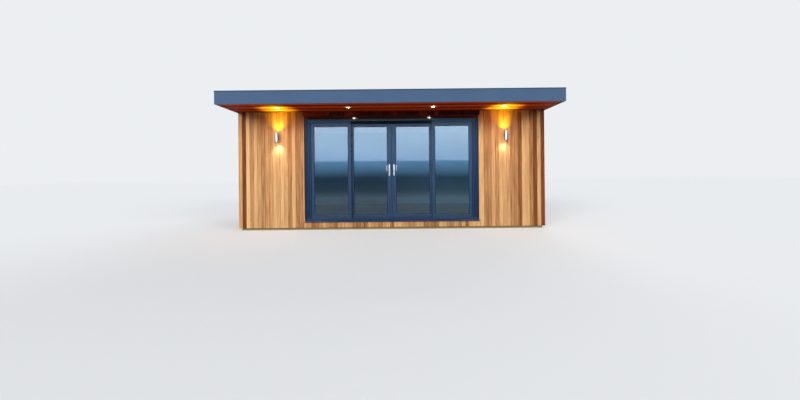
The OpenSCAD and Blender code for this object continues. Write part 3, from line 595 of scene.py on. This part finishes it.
# One tree sets every kind of small head: a low turned cone with a chosen number of sides
head_tree, size = new_tree("head_setting", [("Head radius", "Float"), ("Top radius", "Float"),
                                            ("Head height", "Float"), ("Head sides", "Int")])
head = add_node(head_tree, "GeometryNodeMeshCone", {"fill_type": "NGON"},
                {"Vertices": size["Head sides"], "Radius Top": size["Top radius"],
                 "Radius Bottom": size["Head radius"], "Depth": size["Head height"]})
close_tree(head_tree, size, head)


def set_row(name, places, turn, radius, height, finish, body="building", top=0.7, sides=10):
    """Sets small heads at places, all turned alike."""
    heads = grow(name, head_tree, places, turn,
                 {"Head radius": radius, "Top radius": radius * top, "Head height": height,
                  "Head sides": sides, "Finish": finish})
    settle(heads, body=body)


def spread(start, stop, pitch):
    """Even steps from start to stop, about a pitch apart."""
    count = max(round((stop - start) / pitch), 1)
    return [start + (stop - start) * i / count for i in range(count + 1)]


facing_front, facing_back = (math.pi / 2, 0, 0), (-math.pi / 2, 0, 0)
facing_left, facing_right = (0, -math.pi / 2, 0), (0, math.pi / 2, 0)
facing_down = (math.pi, 0, 0)
fascia_low, fascia_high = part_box("fascia_front")
sides_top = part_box("fascia_sides")[1]
back_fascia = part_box("fascia_back")[1]
pin_r, pin_h, pin_in, trim_h, pin_pitch = 0.0045, 0.0012, 0.035, 0.02, 0.6
pin_zs = (fascia_low.z + pin_in, fascia_high.z - pin_in - trim_h)
front_xs, back_xs = spread(-3.10, 3.10, pin_pitch), spread(-3.08, 3.08, pin_pitch)
side_ys = spread(-2.68, 1.90, pin_pitch)
for name, places, turn in (
        ("front", [(x, fascia_low.y, z) for x in front_xs for z in pin_zs], facing_front),
        ("left", [(-sides_top.x, y, z) for y in side_ys for z in pin_zs], facing_left),
        ("right", [(sides_top.x, y, z) for y in side_ys for z in pin_zs], facing_right),
        ("back", [(x, back_fascia.y, pin_zs[0]) for x in back_xs], facing_back)):
    set_row("fascia_pins_" + name, places, turn, pin_r, pin_h, fascia_coat)

# Dull steel nails hold the boards at every batten but the top one, never quite in line
nail_steel = coat_finish("dull_nail_steel", (150, 138, 124), 0.35, drift=0.1)
battens_low, battens_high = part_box("battens")
batten_w, batten_rows = 0.050, 5
nail_r, nail_h, nail_sides, stray = 0.003, 0.0006, 8, 0.003
rows_apart = (battens_high.z - battens_low.z - batten_w) / (batten_rows - 1)
nail_zs = [battens_low.z + batten_w / 2 + rows_apart * i for i in range(batten_rows - 1)]
nail_lot = random.Random(41)
for run, start, end, count, turn in (
        ("left_pier", piers_low.xy, (-door_side, piers_low.y), len(left_tones), facing_front),
        ("right_pier", (door_side, piers_low.y), (piers_high.x, piers_low.y), len(right_tones), facing_front),
        ("left_side", sides_low.xy, (sides_low.x, sides_high.y), side_boards, facing_left),
        ("right_side", (sides_high.x, sides_low.y), sides_high.xy, side_boards, facing_right),
        ("back", (back_low.x, back_high.y), back_high.xy, back_boards, facing_back)):
    start = Vector((*start, 0))
    line = Vector((*end, 0)) - start
    nails = [start + line * ((i + 0.5) / count) + line.normalized() * nail_lot.uniform(-stray, stray)
             + Vector((0, 0, z + nail_lot.uniform(-stray, stray))) for i in range(count) for z in nail_zs]
    set_row("cladding_nails_" + run, nails, turn, nail_r, nail_h, nail_steel,
            sides=nail_sides)

# The sheets of the membrane lap by 80 mm, and a welded strip covers each lap
membrane_low, membrane_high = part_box("roof_membrane")
membrane_t, lap_w, lap_t, lap_ease, lap_in = 0.003, 0.08, 0.0018, 0.0006, 0.004
membrane_run = membrane_high.y - membrane_low.y
fall = math.atan((membrane_high.z - membrane_low.z - membrane_t) / membrane_run)
lap_z = membrane_high.z - lap_in * math.tan(fall) + lap_t / 2
lap_xs, lap_length = (-2.1, -0.7, 0.7, 2.1), (membrane_run - 2 * lap_in) / math.cos(fall)
laps = lay_boards("membrane_laps", [(x, membrane_low.y + lap_in, lap_z) for x in lap_xs],
                  [lap_length] * len(lap_xs), (-math.pi / 2 - fall, 0, 0), lap_w, lap_t, lap_ease,
                  membrane)
settle(laps)

# Brackets hold the gutter, each a strap round its half bowl
bracket_tree, size = new_tree("bracket_setting", [("Bowl radius", "Float"), ("Strap width", "Float"),
                                                  ("Strap thickness", "Float")])
bowl = add_node(bracket_tree, "GeometryNodeCurveArc", {"mode": "RADIUS"},
                {"Resolution": 20, "Radius": size["Bowl radius"], "Start Angle": math.radians(172),
                 "Sweep Angle": math.radians(196)})
strap = add_node(bracket_tree, "GeometryNodeCurvePrimitiveQuadrilateral", None,
                 {"Width": size["Strap thickness"], "Height": size["Strap width"]})
strap = add_node(bracket_tree, "GeometryNodeCurveToMesh", None,
                 {"Curve": bowl, "Profile Curve": strap, "Fill Caps": True})
close_tree(bracket_tree, size, strap)
gutter_r, gutter_z = 0.056, 2.570
gutter_y = sides_top.y + gutter_r
brackets = grow("gutter_brackets", bracket_tree,
                [(x, gutter_y, gutter_z) for x in spread(-3.0, 3.0, 0.75)], along_x,
                {"Bowl radius": gutter_r + 0.001, "Strap width": 0.024, "Strap thickness": 0.0035,
                 "Finish": gutter_plastic})
settle(brackets)

# Soffit
# Six wide boards of cedar, alternately light and dark, run along under the overhang,
# screwed up to the battens, with a round hole for each downlight.

soffit_low, soffit_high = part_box("soffit")
soffit_rows, soffit_ease = 6, 0.003
soffit_w = (soffit_high.y - soffit_low.y) / soffit_rows
soffit_z = (soffit_low.z + soffit_high.z) / 2
soffit_places = [(soffit_low.x, soffit_low.y + (i + 0.5) * soffit_w, soffit_z) for i in range(soffit_rows)]
# The soffit's cedar is a darker, redder copy of the wall cedar: painted shade of the overhang
soffit_boards = lay_boards("soffit_boards", soffit_places, [soffit_high.x - soffit_low.x] * soffit_rows,
                           along_x, soffit_w, soffit_high.z - soffit_low.z, soffit_ease,
                           wood_finish("cedar_soffit_painted_shade", (92, 15, 2), (222, 88, 18), "X",
                                       rough=0.66, shine=0.1))
lamp_xs, lamp_y, lamp_hole_r = (-2.195, -0.825, 0.825, 2.195), -2.35, 0.036
cutter_mesh = bmesh.new()
for lamp_x in lamp_xs:
    hole = bmesh.ops.create_cone(cutter_mesh, cap_ends=True, segments=48, radius1=lamp_hole_r,
                                 radius2=lamp_hole_r, depth=0.06)
    bmesh.ops.translate(cutter_mesh, verts=hole["verts"], vec=(lamp_x, lamp_y, soffit_low.z))
cutter = keep_mesh("lamp_holes", cutter_mesh)
cut = soffit_boards.modifiers.new("lamp_holes", "BOOLEAN")
cut.object = cutter
cut.solver = "EXACT"
cut.use_self = True
holed = bpy.data.meshes.new_from_object(
    soffit_boards.evaluated_get(bpy.context.evaluated_depsgraph_get()))
soffit_boards.modifiers.clear()
soffit_boards.data = holed
bpy.data.objects.remove(cutter)
# Each board's tone, redness and seed go on its faces, because the cut joins the boards' edges
soffit_marks = {"tone": (0.85, 0.1, 0.8, 0.1, 0.6, 0.05), "redness": (0.1,) * soffit_rows,
                "seed": (3.0, 9.5, 17.0, 24.5, 31.0, 39.5)}
board_of_face = [min(max(int((face.center.y - soffit_low.y) / soffit_w), 0), soffit_rows - 1)
                 for face in holed.polygons]
for label, values in soffit_marks.items():
    mark = holed.attributes.new(label, "FLOAT", "FACE")
    mark.data.foreach_set("value", [values[row] for row in board_of_face])
settle(soffit_boards)
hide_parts("soffit")
screw_in, soffit_screw_r = 0.03, 0.0035
screw_ys = [soffit_low.y + soffit_w * row + out for row in range(soffit_rows)
            for out in (screw_in, soffit_w - screw_in)]
set_row("soffit_screws", [(x, y, soffit_low.z) for x in spread(-3.0, 3.0, 0.5) for y in screw_ys],
        facing_down, soffit_screw_r, nail_h, nail_steel, sides=nail_sides)

# Downlights and wall lights
# White rims and frosted lenses are clipped into the soffit. The wall lights are turned
# tubes of brushed stainless steel with a lens and a warm lamp at each end.


def turned(mesh, profile, centre, axis=(0, 0, 1), steps=32):
    """Turns a profile of radius and height about an axis through a centre."""
    up = Vector(axis).normalized()
    side = up.orthogonal().normalized()
    across = up.cross(side)
    rings = []
    for radius, height in profile:
        middle = Vector(centre) + up * height
        if not radius:
            rings.append([mesh.verts.new(middle)])
        else:
            rings.append([mesh.verts.new(middle + (side * math.cos(2 * math.pi * k / steps)
                                                   + across * math.sin(2 * math.pi * k / steps)) * radius)
                          for k in range(steps)])
    for low, high in zip(rings, rings[1:]):
        for k in range(steps):
            corners = [low[k % len(low)], low[(k + 1) % len(low)],
                       high[(k + 1) % len(high)], high[k % len(high)]]
            corners = [c for n, c in enumerate(corners) if c not in corners[:n]]
            if len(corners) > 2:
                mesh.faces.new(corners)


def lamp_glass(name, colour, strength):
    """Frosted lens with the lamp behind it."""
    finish, tree, skin, where = new_finish(name)
    prisms = noise(tree, where, 320.0)
    plug(tree, skin, {"Base Color": blend_colours(tree, prisms, paint_colour((255, 236, 200)),
                                                  paint_colour((255, 250, 236))),
                      "Roughness": 0.4, "Emission Color": colour, "Emission Strength": strength})
    dents(tree, skin, prisms, 0.0006, 0.3)
    return finish


dress(["downlights"], coat_finish("white_lamp_rim", (214, 212, 206), 0.35, drift=0.02))
lens_profile = [(0, 0), (0.012, 0.0006), (0.0205, 0.0022), (0.0235, 0.0045), (0.0235, 0.0068), (0, 0.0068)]
lens_up = 0.005
lenses = bmesh.new()
for lamp_x in lamp_xs:
    turned(lenses, lens_profile, (lamp_x, lamp_y, soffit_low.z + lens_up))
settle(keep_mesh("downlight_lenses", lenses, smooth=True),
       lamp_glass("warm_white_lens", (1.0, 0.86, 0.62, 1), 90.0))


def metal_finish(name, dark, light, rough, wear, scale, brushed=False):
    """Bare metal with marks of wear. Brushed metal has them as fine lines up and down."""
    finish, tree, skin, where = new_finish(name)
    marks = noise(tree, drawn_out(tree, where, (900, 900, 12)) if brushed else where, scale)
    plug(tree, skin, {"Base Color": blend_colours(tree, marks, paint_colour(dark), paint_colour(light)),
                      "Roughness": number(tree, "MULTIPLY_ADD", marks, wear, rough), "Metallic": 1.0})
    if brushed:
        dents(tree, skin, marks, 0.0002, 0.3)
    return finish


steel = metal_finish("brushed_stainless_steel", (120, 121, 126), (150, 150, 156), 0.2, 0.2, 1.0, brushed=True)
dress(["wall_lights"], steel)
wall_low, wall_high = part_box("wall_lights")
tube_r, tube_lens = 0.033, 0.006
tube_xs = (wall_low.x + tube_r, wall_high.x - tube_r)
tube_y = wall_low.y + tube_r
tube_profile = [(0, 0.003), (0.014, 0.0026), (0.024, 0.0012), (0.0275, 0), (0, 0)]
tube_lenses = bmesh.new()
for tube_x in tube_xs:
    for end, z_end in ((-1, wall_low.z), (1, wall_high.z)):
        turned(tube_lenses, tube_profile, (tube_x, tube_y, z_end - end * tube_lens), axis=(0, 0, end))
settle(keep_mesh("wall_light_lenses", tube_lenses, smooth=True),
       lamp_glass("amber_lens", (1.0, 0.62, 0.25, 1), 10.0))

# A fine black line is turned into the tube at each end, and two screws hold each wall plate
line_r, line_in = tube_r + 0.0002, 0.018
line_profile = [(tube_r - 0.001, -0.0012), (line_r, -0.0008), (line_r, 0.0008), (tube_r - 0.001, 0.0012),
                (tube_r - 0.001, -0.0012)]
tube_lines = bmesh.new()
for tube_x in tube_xs:
    for z_line in (wall_low.z + line_in, wall_high.z - line_in):
        turned(tube_lines, line_profile, (tube_x, tube_y, z_line))
settle(keep_mesh("wall_light_lines", tube_lines, smooth=True),
       coat_finish("black_turned_line", (30, 30, 34), 0.3))
plate_y, plate_z, screw_up = piers_low.y - 0.008, (wall_low.z + wall_high.z) / 2, 0.034
set_row("wall_light_screws", [(x, plate_y, plate_z + up) for x in tube_xs for up in (-screw_up, screw_up)],
        facing_front, 0.0035, 0.0016, steel)


def shine(name, place, power, colour, downwards, cone, receivers=None, far=False):
    """A part of the light that comes out of one lens. A far part is gathered by the reflector
    and keeps its strength along the wall."""
    lamp = bring_in(name, bpy.data.lights.new(name, "SPOT"))
    lamp.data.energy = power
    lamp.data.color = colour
    lamp.data.spot_size = math.radians(cone)
    lamp.data.spot_blend = 1.0
    lamp.data.shadow_soft_size = 0.02
    lamp.visible_camera = False
    lamp.location = place
    lamp.rotation_euler = (0 if downwards else math.pi, 0, 0)
    if receivers:
        lamp.light_linking.receiver_collection = receivers
    if far:
        lamp.data.use_nodes = True
        tree = lamp.data.node_tree
        tree.nodes.clear()
        falloff = add_node(tree, "ShaderNodeLightFalloff", None, {"Strength": 1.0})
        glow = add_node(tree, "ShaderNodeEmission", None,
                        {"Color": (1, 1, 1, 1), "Strength": falloff.outputs["Constant"]})
        add_node(tree, "ShaderNodeOutputLight", None, {"Surface": glow})


overhead, not_overhead, not_ground = [bpy.data.collections.new(name) for name in
                                      ("boards_overhead", "not_overhead", "not_ground")]
for group, member in ((overhead, soffit_boards), (not_overhead, soffit_boards), (not_ground, ground)):
    group.objects.link(member)
overhead.objects.link(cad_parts["downlights"])
for group in (not_overhead, not_ground):
    group.collection_objects[0].light_linking.link_state = "EXCLUDE"
for n, (lamp_x, power) in enumerate(zip(lamp_xs, (16, 8, 8, 16))):
    shine("downlight_%d" % n, (lamp_x, lamp_y, soffit_low.z - 0.004), power, (1.0, 0.66, 0.30), True, 120)
    shine("downlight_rim_%d" % n, (lamp_x, lamp_y, soffit_low.z - 0.05), 0.5, (1.0, 0.9, 0.6), False,
          150, overhead)
# A wide soft lamp close to the floor lights the underside of the overhang alone
lift = bring_in("soffit_lift", bpy.data.lights.new("soffit_lift", "AREA"))
lift.data.shape = "RECTANGLE"
lift.data.size = 3.2
lift.data.size_y = 1.0
lift.data.energy = 15
lift.data.color = (1.0, 0.7, 0.5)
lift.location = (0, (soffit_low.y + soffit_high.y) / 2, 0.1)
lift.rotation_euler = (math.pi, 0, 0)
lift.visible_camera = lift.visible_glossy = False
lift.light_linking.receiver_collection = overhead
# The left wall light throws more light down than the right one, and both a little inwards
amber, pale_amber, gold, warm_white = (1.0, 0.74, 0.0), (1.0, 0.93, 0.70), (0.50, 1.0, 0.05), (1.0, 1.0, 0.9)
for n, tube_x in enumerate(tube_xs):
    inwards, low_share = (0.02, 1.0) if tube_x < 0 else (-0.02, 0.72)
    above = Vector((tube_x + inwards, tube_y, wall_high.z + 0.004))
    below = Vector((tube_x + inwards, tube_y, wall_low.z - 0.004))
    ahead = above + Vector((inwards * 4, -0.2, 0))
    shine("wall_light_up_%d" % n, above, 9, amber, False, 130, not_overhead)
    shine("wall_light_beam_%d" % n, above, 138, amber, False, 98, not_overhead, far=True)
    shine("wall_light_glow_%d" % n, ahead, 125, gold, False, 96, overhead)
    shine("wall_light_core_%d" % n, ahead, 30, warm_white, False, 50, overhead)
    shine("wall_light_down_%d" % n, below, 25 * low_share, pale_amber, True, 110, not_ground, far=True)
    shine("wall_light_foot_%d" % n, below, 11 * low_share, pale_amber, True, 110, not_ground)

# Door frame and panels
# Extruded aluminium with a powder coat, mitred and crimped at the corners, a cill and a
# twin-channel sill under it. The glass sits between black rubber gaskets.

sky_cast = (0.56, 0.68, 1.0)
# The head gets a lighter copy of the jambs' coat: painted light against the shade under the overhang
for node, name, colour in (("door_jambs", "anthracite_powder_coat", (27, 48, 76)),
                           ("door_head", "anthracite_head_coat_painted_light", (42, 82, 114))):
    dress([node], coat_finish(name, colour, 0.32, sheen=0.13, cast=sky_cast))
dress(["door_cill", "door_sill"], coat_finish("anthracite_sill_coat", (34, 52, 82), 0.36))
dress(sashes, coat_finish("anthracite_sash_coat", (41, 65, 92), 0.28, sheen=0.22, cast=sky_cast))
dress(["left_door_rollers", "right_door_rollers"],
      coat_finish("roller_nylon", (210, 208, 200), 0.4, drift=0.03))

# The panes reflect and bend light for the eye, but let the light itself straight through
glass, glass_tree, pane, glass_where = new_finish("double_glazing")
plug(glass_tree, pane, {"Base Color": (0.54, 0.79, 0.91, 1), "Transmission Weight": 1.0, "IOR": 1.5,
                        "Roughness": 0.0, "Specular IOR Level": 0.14,
                        "Specular Tint": (0.86, 0.87, 0.98, 1)})
dents(glass_tree, pane, noise(glass_tree, glass_where, 1.6), 0.002, 0.02)
clear = add_node(glass_tree, "ShaderNodeBsdfTransparent", None, {"Color": (0.62, 0.68, 0.71, 1)})
mixed_glass = add_node(glass_tree, "ShaderNodeMixShader", None,
                       {0: seen_by(glass_tree, ("Shadow", "Diffuse")), 1: pane, 2: clear})
plug(glass_tree, glass_tree.nodes["Material Output"], {"Surface": mixed_glass})
dress(panes, glass)

# A black gasket closes the joint between glass and bevel on both faces of each panel, and a
# black spacer keeps the two panes of each unit apart
y_fixed, y_slide, sash_t, glass_in = -1.899, -1.840, 0.038, 0.005
z_sight_top, z_sight_fixed, z_sight_slide = 2.132, 0.292, 0.297
sights = {"fixed": ("building", y_fixed, z_sight_fixed, [(-1.605, -0.9025), (0.9025, 1.605)]),
          "left_door": ("left_door", y_slide, z_sight_slide, [(-0.7945, -0.092)]),
          "right_door": ("right_door", y_slide, z_sight_slide, [(0.092, 0.7945)])}
gasket_section = [(-0.0015, 0.0023), (0.0004, 0.0017), (0.0042, 0.0026), (0.0062, glass_in - 0.0002),
                  (0.0002, glass_in - 0.0002), (0.0002, 0.0030)]
spacer_section = [(-0.009, 0.0092), (0.0022, 0.0092), (0.0022, 0.0288), (-0.009, 0.0288)]
rubber = coat_finish("black_gasket_rubber", (22, 23, 26), 0.5, drift=0.12)
spacer_finish = coat_finish("warm_edge_spacer", (44, 46, 50), 0.42, drift=0.08)
for name, (body, y_face, z_low, openings) in sights.items():
    gaskets, spacers = bmesh.new(), bmesh.new()
    for x_low, x_high in openings:
        ring = [(x_low, y_face, z_sight_top), (x_high, y_face, z_sight_top),
                (x_high, y_face, z_low), (x_low, y_face, z_low)]
        back_ring = [(x, y + sash_t, z) for x, y, z in reversed(ring)]
        mitred_run(gaskets, ring, gasket_section, (0, 1, 0))
        mitred_run(gaskets, back_ring, gasket_section, (0, -1, 0))
        mitred_run(spacers, ring, spacer_section, (0, 1, 0))
    settle(keep_mesh(name + "_gaskets", gaskets), rubber, body)
    settle(keep_mesh(name + "_spacers", spacers), spacer_finish, body)

# A glossy drip strip leans against the top of the head, with a bead under it whose pale coat is a painted
# highlight, and a row of black bristles in the empty front channel above the sliding panels
frame_low, frame_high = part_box("door_head")
y_frame = frame_low.y
y_inner = y_frame + 0.004


def head_run(name, half, y, z, section, finish):
    """A profile that runs along the frame head, as far to the left as to the right."""
    run = mitred_run(bmesh.new(), [(-half, y, z), (half, y, z)], section, (0, 1, 0), closed=False)
    settle(keep_mesh(name, run), finish)


lean, strip_h = math.tan(math.radians(3.3)), 0.048
head_run("head_drip_strip", frame_high.x - 0.004, y_frame, frame_high.z - 0.002,
         [(0, -0.001), (strip_h - 0.002, -0.001 - lean * strip_h), (strip_h, -lean * strip_h),
          (strip_h, 0.0005), (0, 0.0005)],
         metal_finish("dark_anodised_strip", (92, 88, 92), (110, 106, 110), 0.11, 0.05, 30.0))
bead_half, z_bead, bead_h = 0.98, 2.262, 0.012
# The bead's pale blue coat is a painted highlight along the step of the head
head_run("head_bead", bead_half, y_inner, z_bead,
         [(0, 0.0005), (0, -0.002), (0.002, -0.004), (bead_h - 0.002, -0.004), (bead_h, -0.002),
          (bead_h, 0.0005)], coat_finish("bead_coat_painted_highlight", (96, 128, 166), 0.3))
brush_half, z_brush, brush_h, bristle_r, bristle_in = 0.838, 2.238, 0.040, 0.0011, 0.002
pile = coat_finish("black_brush_pile", (26, 44, 56), 0.8, sheen=0.1)
head_run("head_brush_carrier", brush_half, y_inner, z_brush,
         [(0, 0.0005), (0, -0.0012), (brush_h, -0.0012), (brush_h, 0.0005)], pile)
bristle_xs = spread(-brush_half + bristle_in, brush_half - bristle_in, 0.0035)
set_row("head_brush", [(x, y_inner - 2 * bristle_r, z_brush - bristle_in) for x in bristle_xs], facing_down,
        bristle_r, brush_h - 2 * bristle_in, pile, top=0.45, sides=5)

# Four oval caps cover the drain slots in the front of the sill
cap_half, z_cap = 0.018, 0.2105
drain_caps = bmesh.new()
for x in (-1.35, -0.45, 0.45, 1.35):
    ovals = [[drain_caps.verts.new((x + side * cap_half + radius * math.cos(a), y_frame + rise,
                                    z_cap + radius * math.sin(a)))
              for side, turn in ((1, -math.pi / 2), (-1, math.pi / 2))
              for a in [turn + math.pi * k / 8 for k in range(9)]]
             for radius, rise in ((0.0045, 0.0), (0.0045, -0.0022), (0.0032, -0.0034))]
    join_rings(drain_caps, ovals)
settle(keep_mesh("sill_drain_caps", drain_caps), rubber)

# Door handles
# Cast pull handles on oval plates, chrome plated, held by two screws each, with a key
# cylinder under each pull.

chrome = metal_finish("polished_chrome", (166, 157, 157), (190, 181, 182), 0.16, 0.08, 60.0)
dress(handles, chrome)
plate_x, plate_t, z_plate, cylinder_out = 0.049, 0.006, 1.222, 0.004
y_plates = (y_slide - plate_t, y_slide + sash_t + plate_t)
slot_shape = [(-0.0008, -0.0045), (0.0008, -0.0045), (0.0008, 0.0012), (0.0017, 0.002), (0.0017, 0.004),
              (-0.0017, 0.004), (-0.0017, 0.002), (-0.0008, 0.0012)]
z_slot = z_plate - 0.089
keyway = coat_finish("black_keyway", (14, 14, 16), 0.6)
for door, x in (("left_door", -plate_x), ("right_door", plate_x)):
    for face, y, turn in (("front", y_plates[0], facing_front), ("back", y_plates[1], facing_back)):
        set_row("%s_%s_screws" % (door, face), [(x, y, z_plate + up) for up in (-0.052, 0.108)],
                turn, 0.0042, 0.0014, chrome, body=door, sides=14)
    slots = bmesh.new()
    for y, out in ((y_plates[0] - cylinder_out, -1), (y_plates[1] + cylinder_out, 1)):
        join_rings(slots, [[slots.verts.new((x + u, y + out * depth, z_slot + v)) for u, v in slot_shape]
                           for depth in (-0.0004, 0.0003)])
    settle(keep_mesh(door + "_keyways", slots), keyway, door)
